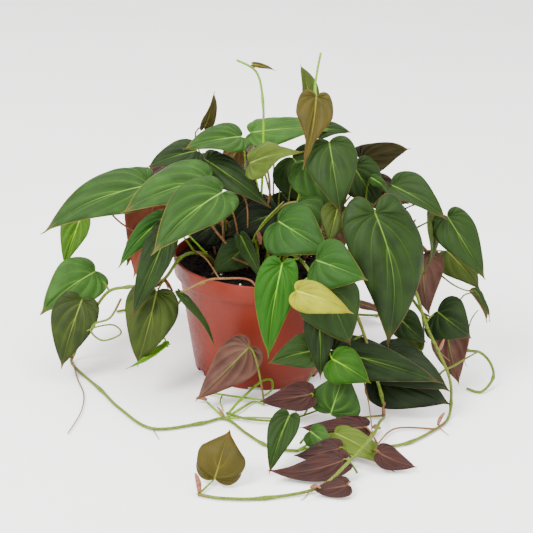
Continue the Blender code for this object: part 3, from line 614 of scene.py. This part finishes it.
def leaf_underside(name, colours):
    """The matt underside of a blade, in its own two tones, with raised pale ribs."""
    vein, margin, dark, light = colours[3:7]
    made, tree, shader = new_material(f"leaf_underside_{name}")
    pattern = leaf_pattern(tree)
    place = add(tree, "TexCoord").outputs["Object"]
    # Patches where the flush is stronger, and the matt grain of the skin.
    cloud = add(tree, "TexNoise", {"Vector": place, "Scale": per_metre(14.3), "Detail": 3.0})
    grain = add(tree, "TexNoise", {"Vector": place, "Scale": per_metre(0.625), "Detail": 2.0})
    colour = paint_over(tree, dark, [
        (add(tree, "MapRange", [cloud, 0.2, 0.8, 0.1, 0.8], **SMOOTH), 1, light),
        # The band beside the ribs is painted light and shade of the quilting: paler by the ribs, darker
        # between them.
        (pattern["band"], 0.30, light), (pattern["fine"], 0.25, dark), (pattern["vein"], 0.14, vein),
        (pattern["midrib"], 0.45, vein), (pattern["tip"], 0.4, margin)])
    feed(tree, shader, {
        "Base Color": colour, "Roughness": 0.55, "IOR": 1.42, "Specular IOR Level": 0.2,
        "Sheen Weight": 0.03, "Sheen Roughness": 0.5,
        "Normal": relief(tree, 0.6, 0.5 * MM, [
            (pattern["vein"], 0.8), (grain, 0.2), (pattern["midrib"], 1)])})
    return made


def waxy_stem(name, colours):
    """Smooth soft stem skin with fine lengthwise streaks, flushed red in places."""
    dark, light, flush = colours
    made, tree, shader = new_material(f"waxy_{name}")
    place = add(tree, "TexCoord").outputs["Object"]
    # Flushed stretches as long as the gap between two nodes, and streaks a millimetre wide.
    cloud = add(tree, "TexNoise", {"Vector": place, "Scale": per_metre(26.3), "Detail": 2.0})
    streak = add(tree, "TexNoise", {"Vector": place, "Scale": per_metre(1.11), "Detail": 3.0})
    colour = paint_over(tree, dark, [
        (add(tree, "MapRange", [streak, 0.3, 0.7, 0, 1], **SMOOTH), 1, light),
        (add(tree, "MapRange", [cloud, 0.50, 0.72, 0, 0.7], **SMOOTH), 1, flush)])
    feed(tree, shader, {
        "Base Color": colour, "Roughness": 0.42, "IOR": 1.42, "Specular IOR Level": 0.3,
        "Normal": relief(tree, 0.3, 0.3 * MM, [(streak, 1)])})
    return made


def terracotta_polypropylene():
    """Thin injection-moulded polypropylene: satin, faintly ringed by the mould, a little scuffed."""
    made, tree, shader = new_material("terracotta_polypropylene")
    place = add(tree, "TexCoord").outputs["Object"]
    # Uneven colour in patches a few centimetres wide.
    cloud = add(tree, "TexNoise", {"Vector": place, "Scale": per_metre(55.6), "Detail": 3.0})
    # Turned mould marks 0.6 mm apart: a wave texture of scale 1 repeats every pi / 10.
    rings = add(tree, "TexWave",
                {"Vector": place, "Scale": math.pi / 10 * per_metre(0.604), "Distortion": 0.6},
                wave_type="BANDS", bands_direction="Z")
    # Scuffs a few millimetres long.
    scuff = add(tree, "TexNoise", {"Vector": place, "Scale": per_metre(3.85), "Detail": 5.0})
    colour = paint_over(tree, "#641A09", [
        (add(tree, "MapRange", [cloud, 0.3, 0.7, 0, 1], **SMOOTH), 1, "#70200C"),
        (add(tree, "MapRange", [scuff, 0.62, 0.75, 0, 0.2], **SMOOTH), 1, "#944028")])
    feed(tree, shader, {
        "Base Color": colour,
        "Roughness": add(tree, "MapRange", [scuff, 0.35, 0.7, 0.40, 0.55], **SMOOTH),
        "IOR": 1.49, "Specular IOR Level": 0.24,
        "Normal": relief(tree, 0.12, 0.4 * MM, [(rings.outputs["Fac"], 0.3), (scuff, 1)])})
    return made


def granular(name, low, high, size, surface, detail=4.0, coarse=0.5, levels=(0.3, 0.7), bump=None):
    """Two tones in grains of a size in millimetres, with the shader's other inputs."""
    made, tree, shader = new_material(name)
    place = add(tree, "TexCoord").outputs["Object"]
    grains = add(tree, "TexNoise", {"Vector": place, "Scale": per_metre(size), "Detail": detail,
                                    "Roughness": coarse})
    share = add(tree, "MapRange", [grains, *levels, 0, 1], **SMOOTH)
    feed(tree, shader, {"Base Color": paint_over(tree, low, [(share, 1, high)]), **surface})
    if bump:
        feed(tree, shader, {"Normal": relief(tree, *bump, [(grains, 1)])})
    return made


def papery_sheath():
    """The dry bract left at a node: thin, tan-pink and fibrous."""
    return granular("papery_sheath", "#5E3420", "#8A5A3C", 1.43, {"Roughness": 0.7},
                    bump=(0.5, 0.3 * MM))


def potting_mix():
    """Moist bark and peat: near black, crumbly, with browner fibres."""
    return granular("potting_mix", "#060403", "#1C130C", 2.38,
                    {"Roughness": 0.9, "Specular IOR Level": 0.1}, detail=6.0, coarse=0.7,
                    levels=(0.35, 0.75), bump=(0.9, 1.5 * MM))


def bark_crumb():
    """Composted bark: dull dark brown, paler where it has broken."""
    return granular("bark_crumb", "#080503", "#20150E", 3.33,
                    {"Roughness": 0.9, "Specular IOR Level": 0.15})


def expanded_perlite():
    """Volcanic glass puffed by heat: chalky, off white, faintly mottled."""
    return granular("expanded_perlite", "#C9C2B6", "#EDE9E0", 1.11,
                    {"Roughness": 0.85, "Specular IOR Level": 0.15})


def white_paper():
    """Matt studio paper, lit a little from within so that it stays pale under the plant."""
    return granular("white_paper_floor", "#F2F1EF", "#F6F5F3", 333,
                    {"Roughness": 0.9, "Specular IOR Level": 0.15, "Emission Color": "#FFFFFF",
                     "Emission Strength": 0.25})


UPPER = {name: velvet_leaf(name, colours) for name, colours in COLOURINGS.items()}
UNDER = {name: leaf_underside(name, colours) for name, colours in COLOURINGS.items()}
STEM_SKIN = {name: waxy_stem(name, colours) for name, colours in STEM_COLOURS.items()}
SHEATH = papery_sheath()


def to_metres(point):
    return Vector(point) * MM


def smooth_route(points, steps):
    """Points along a Catmull-Rom curve through the given points."""
    route = []
    for i in range(len(points) - 1):
        before = points[max(i - 1, 0)]
        start = points[i]
        end = points[i + 1]
        after = points[min(i + 2, len(points) - 1)]
        for k in range(steps):
            t = k / steps
            route.append(0.5 * (2 * start + (end - before) * t
                                + (2 * before - 5 * start + 4 * end - after) * t * t
                                + (3 * start - before - 3 * end + after) * t * t * t))
    route.append(points[-1])
    return route


OUTLINE = smooth_route([Vector(point) for point in HALF_OUTLINE], OUTLINE_STEPS)
BLADE_ROWS = len(OUTLINE) - 1


def new_mesh(name, bm):
    """A mesh of what a bmesh holds."""
    mesh = bpy.data.meshes.new(name)
    bm.to_mesh(mesh)
    bm.free()
    return mesh


def keep_piece(name, mesh, surfaces, nodes=()):
    """Put a finished mesh in the scene as a piece of the object."""
    piece = bpy.data.objects.new(name, mesh)
    for surface in surfaces:
        piece.data.materials.append(surface)
    bpy.context.scene.collection.objects.link(piece)
    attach(piece, "root")
    if nodes:
        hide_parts(*nodes)
    return piece


def leaf_axes(base, tip, facing):
    """Unit vectors along a leaf, across it and out of its upper face."""
    turn, rise = (math.radians(angle) for angle in facing)
    face = Vector((math.sin(turn) * math.cos(rise), -math.cos(turn) * math.cos(rise), math.sin(rise)))
    along = (tip - base).normalized()
    face = (face - along * face.dot(along)).normalized()
    return along, along.cross(face), face


def blade_form(shape, name):
    """The form of one blade: the usual values, a small natural spread, and its own changes.

    Arch, fold, cup and hook bend it evenly, and twist, wave and lean unevenly. Skew makes one half wider,
    lobe lengthens the lobes, drip draws out the tip, and tint shifts the colour."""
    spread = random.Random(name)
    form = {"arch": ARCH, "fold": FOLD, "cup": CUP * spread.uniform(0.7, 1.4),
            "hook": HOOK * spread.uniform(0.4, 1.8), "twist": spread.uniform(-0.12, 0.12),
            "wave": spread.uniform(0.012, 0.030), "phase": spread.uniform(0, 2 * math.pi),
            "lean": spread.uniform(-0.03, 0.03), "skew": spread.uniform(-0.07, 0.07),
            "lobe": 1.0, "drip": DRIP, "tint": spread.random()}
    form.update(shape)
    return form


def between(value, low, high):
    return min(max(value, low), high)


def blade_place(row, side, length, width, form):
    """A point's place across and along a blade, from its row and its share outwards.

    A row runs as a side vein does: from the midrib at a sharp angle, then curving up to the tip."""
    share = row / BLADE_ROWS
    out = abs(side)
    half = width / 2 * (1 + math.copysign(form["skew"], side))
    margin_x = OUTLINE[row].x * half
    margin_y = OUTLINE[row].y * length
    if margin_y < 0:
        margin_y *= form["lobe"]
    margin_x *= 1 - form["drip"] * between((OUTLINE[row].y - DRIP_START) / DRIP_LENGTH, 0, 1)
    rib_y = share ** RIB_CROWDING * length * HALF_OUTLINE[-1][1]
    bend_x = margin_x * (VEIN_BEND_ACROSS[0] + VEIN_BEND_ACROSS[1] * share)
    bend_y = rib_y + (margin_y - rib_y) * (VEIN_BEND_ALONG[0] + VEIN_BEND_ALONG[1] * share)
    x = 2 * out * (1 - out) * bend_x + out * out * margin_x
    y = (1 - out) ** 2 * rib_y + 2 * out * (1 - out) * bend_y + out * out * margin_y
    return x, y, half


def blade_point(row, side, length, width, form):
    """A point of a blade across, along and above its plane, its widths from the midrib and its run."""
    share = row / BLADE_ROWS
    out = abs(side)
    x, y, half = blade_place(row, side, length, width, form)
    run = between(y / length, 0, 1)
    rise = form["arch"] * max(y, 0) * (1 - run)
    rise += form["fold"] * (math.hypot(x, FOLD_ROUNDING) - FOLD_ROUNDING)
    rise -= form["cup"] * x * x / half
    rise -= form["hook"] * length * max(run - HOOK_START, 0) ** 2 / HOOK_SPREAD
    rise -= LOBE_DROOP * max(-y, 0)
    swell = (abs(math.sin(math.pi * VEIN_PAIRS * share)) * 4 * out * (1 - out)) ** PILLOW_FULLNESS
    rise += PILLOW * length * swell * min(x / (PILLOW_START * width), 1)
    rise -= GROOVE * length * math.exp(-(x / (GROOVE_WIDTH * length)) ** 2) * (1 - run)
    shift = form["phase"] + (MARGIN_WAVE_SHIFT if side < 0 else 0)
    rise += form["wave"] * width * math.sin(MARGIN_WAVES * math.pi * share + shift) * out * out
    side_x = math.copysign(x, side) + form["lean"] * length * math.sin(math.pi * run)
    rise += form["twist"] * side_x * run
    return side_x, y, rise, x / MIDRIB_WIDTH, run


def make_blade(name, base, tip, width, facing, colouring, shape, nodes):
    """A thin heart-shaped blade with sunken veins and a drawn-out tip."""
    along, across, face = leaf_axes(base, tip, facing)
    length = (tip - base).length
    form = blade_form(shape, name)
    bm = bmesh.new()
    vein_map = bm.loops.layers.uv.new("vein_map")
    bmesh.ops.create_grid(bm, x_segments=BLADE_COLUMNS, y_segments=BLADE_ROWS, size=1)
    for vert in bm.verts:
        vert.co.x = math.copysign(abs(vert.co.x) ** COLUMN_CROWDING, vert.co.x)
    for part in bm.faces:
        for loop in part.loops:
            loop[vein_map].uv = (loop.vert.co.x / 2 + 0.5, loop.vert.co.y / 2 + 0.5)
    place = bm.verts.layers.float_vector.new("blade_place")
    for vert in bm.verts:
        row = round((vert.co.y + 1) / 2 * BLADE_ROWS)
        x, y, rise, from_rib, run = blade_point(row, vert.co.x, length, width, form)
        vert[place] = (from_rib, run, form["tint"])
        vert.co = base + across * x + along * y + face * rise
        vert.co.z = max(vert.co.z, BLADE_THICKNESS)
    bmesh.ops.remove_doubles(bm, verts=bm.verts, dist=MERGE_DISTANCE)
    mesh = new_mesh(name, bm)
    mesh.shade_smooth()
    blade = keep_piece(name, mesh, (UPPER[colouring], UNDER[colouring]),
                       nodes)
    thicken = blade.modifiers.new("thickness", "SOLIDIFY")
    thicken.thickness = BLADE_THICKNESS
    thicken.offset = -1
    thicken.material_offset = 1


def tube_mesh(name, route, radii, roundness):
    """A round tube along a route, with a radius for each point and closed ends."""
    curve = bpy.data.curves.new(name, "CURVE")
    curve.dimensions = "3D"
    curve.bevel_depth = 1
    curve.bevel_resolution = roundness
    curve.use_fill_caps = True
    line = curve.splines.new("POLY")
    line.points.add(len(route) - 1)
    line.use_smooth = True
    for knot, point, radius in zip(line.points, route, radii):
        knot.co = (*point, 1)
        knot.radius = radius
    drawn = bpy.data.objects.new(name, curve)
    bm = bmesh.new()
    bm.from_mesh(drawn.to_mesh())
    bmesh.ops.remove_doubles(bm, verts=bm.verts, dist=MERGE_DISTANCE)
    bmesh.ops.recalc_face_normals(bm, faces=bm.faces)
    mesh = new_mesh(name, bm)
    bpy.data.objects.remove(drawn)
    bpy.data.curves.remove(curve)
    mesh.shade_smooth()
    return mesh


def stem_layout(name):
    """A stem's own points in metres, its foot in the soil where it grows from there."""
    points = []
    for point in STEMS[name][2]:
        if len(point) == 2:
            point = (*point, (SOIL_TOP - STEM_ROOT_DEPTH) / MM)
        points.append(to_metres(point))
    return points


def make_stem(name):
    """A stem, swollen at its nodes and finer towards its tip."""
    radius, skin, _ = STEMS[name]
    route = smooth_route(stem_layout(name), ROUTE_STEPS)
    radii = []
    for number in range(len(route)):
        span = number / ROUTE_STEPS
        from_node = abs(span - NODE_SPACING * round(span / NODE_SPACING))
        swell = NODE_SWELLING * max(1 - NODE_SHARPNESS * from_node, 0)
        radii.append(radius * (STEM_FOOT - STEM_TAPER * number / len(route) + swell))
    keep_piece(name, tube_mesh(name, route, radii, 3), (STEM_SKIN[skin],), (name,))


def make_side_stem(name, radius, skin, points, steps=ROUTE_STEPS, taper=SIDE_STEM_TAPER, roundness=2):
    """A thin shoot, tendril or air root that tapers to its end."""
    route = smooth_route([to_metres(point) for point in points], steps)
    radii = [radius * MM * (1 - taper * number / len(route)) for number in range(len(route))]
    keep_piece(name, tube_mesh(name, route, radii, roundness), (STEM_SKIN[skin],))


def stalk_route(base, tip, facing, root):
    """A bowed stalk from the notch of a blade down and back to its root."""
    along, _, face = leaf_axes(base, tip, facing)
    start = base + along * STALK_INSET - face * STALK_SINK
    if root[0] == SOIL:
        end = Vector((root[1] * MM, root[2] * MM, SOIL_TOP - STALK_ROOT_DEPTH))
    elif root[0] in STEMS:
        end = stem_layout(root[0])[root[1]]
    else:
        end = to_metres(root)
    reach = (end - start).length
    leave = start - (face + along * LEAVE_LEAN).normalized() * reach * LEAVE_PULL
    arrive = Vector((0, 0, 1)) if root[0] == SOIL else (leave - end).normalized()
    last = end + arrive * reach * ARRIVE_PULL
    route = []
    for k in range(STALK_STEPS + 1):
        t = k / STALK_STEPS
        route.append((1 - t) ** 3 * start + 3 * t * (1 - t) ** 2 * leave
                     + 3 * t * t * (1 - t) * last + t ** 3 * end)
    for point in route:
        point.z = max(point.z, LYING_HEIGHT)
    return route


def make_leaf(name, base, tip, width, facing, root, colouring, shape=None, nodes=()):
    """One leaf: its blade and the stalk that carries it."""
    base = to_metres(base)
    tip = to_metres(tip)
    make_blade(name, base, tip, width * MM, facing, colouring, shape or {}, nodes)
    route = stalk_route(base, tip, facing, root)
    radii = [STALK_RADIUS * (STALK_TOP + STALK_SWELLING * (k / STALK_STEPS) ** 3)
             for k in range(STALK_STEPS + 1)]
    skin = "red_stem" if random.Random(name).random() < RED_STALK_SHARE else "olive_stem"
    if colouring in LIME_STALKED:
        skin = "lime_stem"
    stalk = f"{name}_stalk"
    keep_piece(stalk, tube_mesh(stalk, route, radii, 2), (STEM_SKIN[skin],), nodes)


def revolve(bm, profile, segments):
    """Turn a profile of (radius, height) points about the pot's axis into a closed skin."""
    corners = [bm.verts.new((radius, 0, height)) for radius, height in profile]
    edges = [bm.edges.new(pair) for pair in zip(corners, corners[1:])]
    bmesh.ops.spin(bm, geom=corners + edges, cent=(0, 0, 0), axis=(0, 0, 1), angle=2 * math.pi,
                   steps=segments, use_merge=True)
    bmesh.ops.remove_doubles(bm, verts=bm.verts, dist=MERGE_DISTANCE)
    bmesh.ops.recalc_face_normals(bm, faces=bm.faces)


def lip(radius, height, thickness, steps=5):
    """Half a circle over the top of a wall, from its outside to its inside."""
    middle = radius - thickness / 2
    points = []
    for k in range(steps + 1):
        angle = math.pi * k / steps
        points.append((middle + thickness / 2 * math.cos(angle),
                       height - thickness / 2 + thickness / 2 * math.sin(angle)))
    return points


def pot_profile():
    """Half the pot's section: up its outside from the middle of its base, over the lip, down inside."""
    # Offsets of up to about a millimetre are the eased edges of the moulding.
    band_foot = POT_HEIGHT - BAND_HEIGHT
    band_radius = RIM_RADIUS - BAND_FLARE
    wall_top = band_radius - BAND_STEP
    spread = wall_top - CHAMFER_RADIUS
    outside = [
        (0, 0), (BASE_RADIUS - 0.001, 0), (BASE_RADIUS, 0.0006), (CHAMFER_RADIUS - 0.0003, 0.0086),
        (CHAMFER_RADIUS, CHAMFER_HEIGHT), (CHAMFER_RADIUS + 0.0002, CHAMFER_HEIGHT + 0.0006),
        (CHAMFER_RADIUS + spread * 0.35, CHAMFER_HEIGHT + 0.027),
        (CHAMFER_RADIUS + spread * 0.70, CHAMFER_HEIGHT + 0.053),
        (wall_top, band_foot - 0.0008), (wall_top + 0.0006, band_foot),
        (band_radius - 0.0008, band_foot + 0.0002), (band_radius, band_foot + 0.0012),
        (RIM_RADIUS - 0.0001, POT_HEIGHT - 0.0022),
    ]
    inside = [
        (band_radius - WALL, band_foot + 0.003),
        (wall_top - WALL + 0.0012, band_foot + 0.0012), (wall_top - WALL, band_foot - 0.0004),
        (CHAMFER_RADIUS - WALL, CHAMFER_HEIGHT), (BASE_RADIUS - WALL, POT_FLOOR), (0, POT_FLOOR),
    ]
    return outside + lip(RIM_RADIUS, POT_HEIGHT, LIP) + inside


def make_pot():
    """The nursery pot: a rolled lip, a shouldered rim band, a tapering wall and a notched, stepped foot."""
    skin = bmesh.new()
    revolve(skin, pot_profile(), POT_SEGMENTS)
    cutters = bmesh.new()
    for number in range(NOTCH_COUNT):
        angle = NOTCH_FIRST_ANGLE + number * 2 * math.pi / NOTCH_COUNT
        spot = Matrix.Rotation(angle, 4, "Z") @ Matrix.Translation((BASE_RADIUS, 0, 0))
        bmesh.ops.create_cube(cutters, size=1, matrix=spot @ Matrix.Diagonal((*NOTCH_CUT, 1)))
    shell = bpy.data.objects.new("pot_shell_raw", new_mesh("pot_shell", skin))
    cutter = bpy.data.objects.new("notch_cutters", new_mesh("notch_cutters", cutters))
    for item in (shell, cutter):
        bpy.context.scene.collection.objects.link(item)
    cut = shell.modifiers.new("notches", "BOOLEAN")
    cut.operation = "DIFFERENCE"
    cut.solver = "EXACT"
    cut.object = cutter
    bpy.context.view_layer.update()
    finished = bpy.data.meshes.new_from_object(
        shell.evaluated_get(bpy.context.evaluated_depsgraph_get()))
    for item in (shell, cutter):
        bpy.data.objects.remove(item)
    finished.shade_smooth()
    finished.set_sharp_from_angle(angle=POT_SHARP_ANGLE)
    keep_piece("nursery_pot", finished, (terracotta_polypropylene(),), ("pot",))


def soil_height(x, y):
    """The lumpy surface of the mix, a little lower at the edge."""
    away = math.hypot(x, y) / SOIL_RADIUS
    lumps = sum(noise.noise(Vector((x, y, layer)) * fineness) * height
                for fineness, height, layer in SOIL_LUMPS)
    return SOIL_TOP + SOIL_CROWN + lumps - SOIL_SETTLING * away ** 4


def make_soil():
    """The lumpy top of the root ball, with its side down inside the pot."""
    profile = [(SOIL_EYE + SOIL_RADIUS * k / SOIL_RINGS, SOIL_TOP) for k in range(SOIL_RINGS + 1)]
    ledge = POT_HEIGHT - BAND_HEIGHT + WALL
    wall_top = RIM_RADIUS - BAND_STEP - BAND_FLARE - WALL
    profile += [(SOIL_RADIUS, ledge + 0.003), (wall_top - CLEARANCE, ledge),
                (CHAMFER_RADIUS - WALL - CLEARANCE, CHAMFER_HEIGHT + 0.001),
                (BASE_RADIUS - WALL - CLEARANCE, SOIL_FOOT), (SOIL_EYE, SOIL_FOOT)]
    bm = bmesh.new()
    revolve(bm, profile + [profile[0]], SOIL_SEGMENTS)
    for vert in bm.verts:
        if vert.co.z > SOIL_TOP - 0.0001:
            vert.co.z = soil_height(vert.co.x, vert.co.y)
    bmesh.ops.holes_fill(bm, edges=bm.edges)
    bmesh.ops.recalc_face_normals(bm, faces=bm.faces)
    mesh = new_mesh("potting_soil", bm)
    mesh.shade_smooth()
    keep_piece("potting_soil", mesh, (potting_mix(),), ("soil",))


def scatter(name, count, smallest, largest, surface, seed, flatness):
    """Crumbs from a smallest to a largest size, lying on the soil, each a squashed low-faced ball."""
    draw = random.Random(seed)
    bm = bmesh.new()
    for _ in range(count):
        away = SOIL_RADIUS * math.sqrt(draw.random()) * SCATTER_REACH
        turn = draw.uniform(0, 2 * math.pi)
        x = away * math.cos(turn)
        y = away * math.sin(turn)
        size = draw.uniform(smallest, largest)
        spot = Matrix.Translation((x, y, soil_height(x, y) + size * SCATTER_LIFT))
        spin = Matrix.Rotation(draw.uniform(0, math.pi), 4, Vector((draw.random(), draw.random(), 0.4)))
        form = Matrix.Diagonal((1, draw.uniform(0.4, 0.9), flatness, 1))
        bmesh.ops.create_icosphere(bm, subdivisions=1, radius=size / 2, matrix=spot @ spin @ form)
    keep_piece(name, new_mesh(name, bm), (surface,))


def make_sheath(number, foot, tip, width):
    """A dry, rolled bract that hugs a node."""
    base = to_metres(foot)
    end = to_metres(tip)
    name = f"sheath_{number:02d}"
    along, across, face = leaf_axes(base, end, (SHEATH_TURN * number, SHEATH_LEAN))
    length = (end - base).length
    bm = bmesh.new()
    bmesh.ops.create_grid(bm, x_segments=6, y_segments=9, size=1)
    for vert in bm.verts:
        # Half as wide at its foot as at its middle, and drawn in to its tip.
        share = (vert.co.y + 1) / 2
        half = width * MM / 4 * math.sin(math.pi * (0.12 + 0.86 * share)) ** 0.7
        roll = vert.co.x * SHEATH_ROLL
        vert.co = (base + along * length * share + across * half * math.sin(roll)
                   + face * half * (1 - math.cos(roll)) * SHEATH_DEPTH)
        vert.co.z = max(vert.co.z, SHEATH_CLEARANCE)
    mesh = new_mesh(name, bm)
    mesh.shade_smooth()
    sheath = keep_piece(name, mesh, (SHEATH,))
    sheath.modifiers.new("thickness", "SOLIDIFY").thickness = SHEATH_THICKNESS


def make_stage():
    """A wide pale floor."""
    bm = bmesh.new()
    bmesh.ops.create_grid(bm, x_segments=1, y_segments=1, size=FLOOR_SIZE)
    floor = bpy.data.objects.new("floor", new_mesh("floor", bm))
    floor.data.materials.append(white_paper())
    bpy.context.scene.collection.objects.link(floor)


def make_lights():
    """A high-key studio: a broad key from the upper left, a fill, a top light and a bright surround."""
    world = bpy.data.worlds.new("studio")
    world.use_nodes = True
    backdrop = world.node_tree.nodes["Background"]
    backdrop.inputs["Color"].default_value = linear("#FFFFFF")
    backdrop.inputs["Strength"].default_value = SURROUND
    bpy.context.scene.world = world
    for name, place, width, power in LIGHTS:
        lamp = bpy.data.lights.new(name, "AREA")
        lamp.shape = "DISK"
        lamp.size = width
        lamp.energy = power
        holder = bpy.data.objects.new(name, lamp)
        holder.location = place
        holder.rotation_euler = (LIGHT_AIM - Vector(place)).to_track_quat("-Z", "Y").to_euler()
        bpy.context.scene.collection.objects.link(holder)


def make_camera():
    """A long lens from a little above, rolled slightly to one side."""
    back = Vector((0, -math.cos(CAMERA_RISE), math.sin(CAMERA_RISE)))
    side = Vector((1, 0, 0))
    up = Vector((0, math.sin(CAMERA_RISE), math.cos(CAMERA_RISE)))
    right = side * math.cos(CAMERA_TILT) + up * math.sin(CAMERA_TILT)
    top = up * math.cos(CAMERA_TILT) - side * math.sin(CAMERA_TILT)
    data = bpy.data.cameras.new("camera")
    data.lens = CAMERA_LENS
    data.sensor_width = CAMERA_SENSOR
    camera = bpy.data.objects.new("camera", data)
    camera.matrix_world = Matrix.LocRotScale(
        CAMERA_TARGET + back * CAMERA_DISTANCE, Matrix((right, top, back)).transposed(), None)
    bpy.context.scene.collection.objects.link(camera)
    bpy.context.scene.camera = camera


def main():
    make_camera()
    make_pot()
    make_soil()
    scatter("bark_crumbs", 420, 1.5 * MM, 5.0 * MM, bark_crumb(), seed=5, flatness=0.6)
    scatter("perlite_grains", 26, 1.0 * MM, 2.6 * MM, expanded_perlite(), seed=11, flatness=0.8)
    for name in STEMS:
        make_stem(name)
    for row in LEAVES:
        make_leaf(*row, nodes=(row[0],))
    for row in SMALL_LEAVES:
        make_leaf(*row)
    for row in SIDE_STEMS:
        make_side_stem(*row)
    for number, row in enumerate(SHEATHS):
        make_sheath(number, *row)
    for number, points in enumerate(AIR_ROOTS):
        make_side_stem(f"air_root_{number}", AIR_ROOT_RADIUS, "red_stem", points,
                       AIR_ROOT_STEPS, AIR_ROOT_TAPER, roundness=1)
    make_stage()
    make_lights()


main()
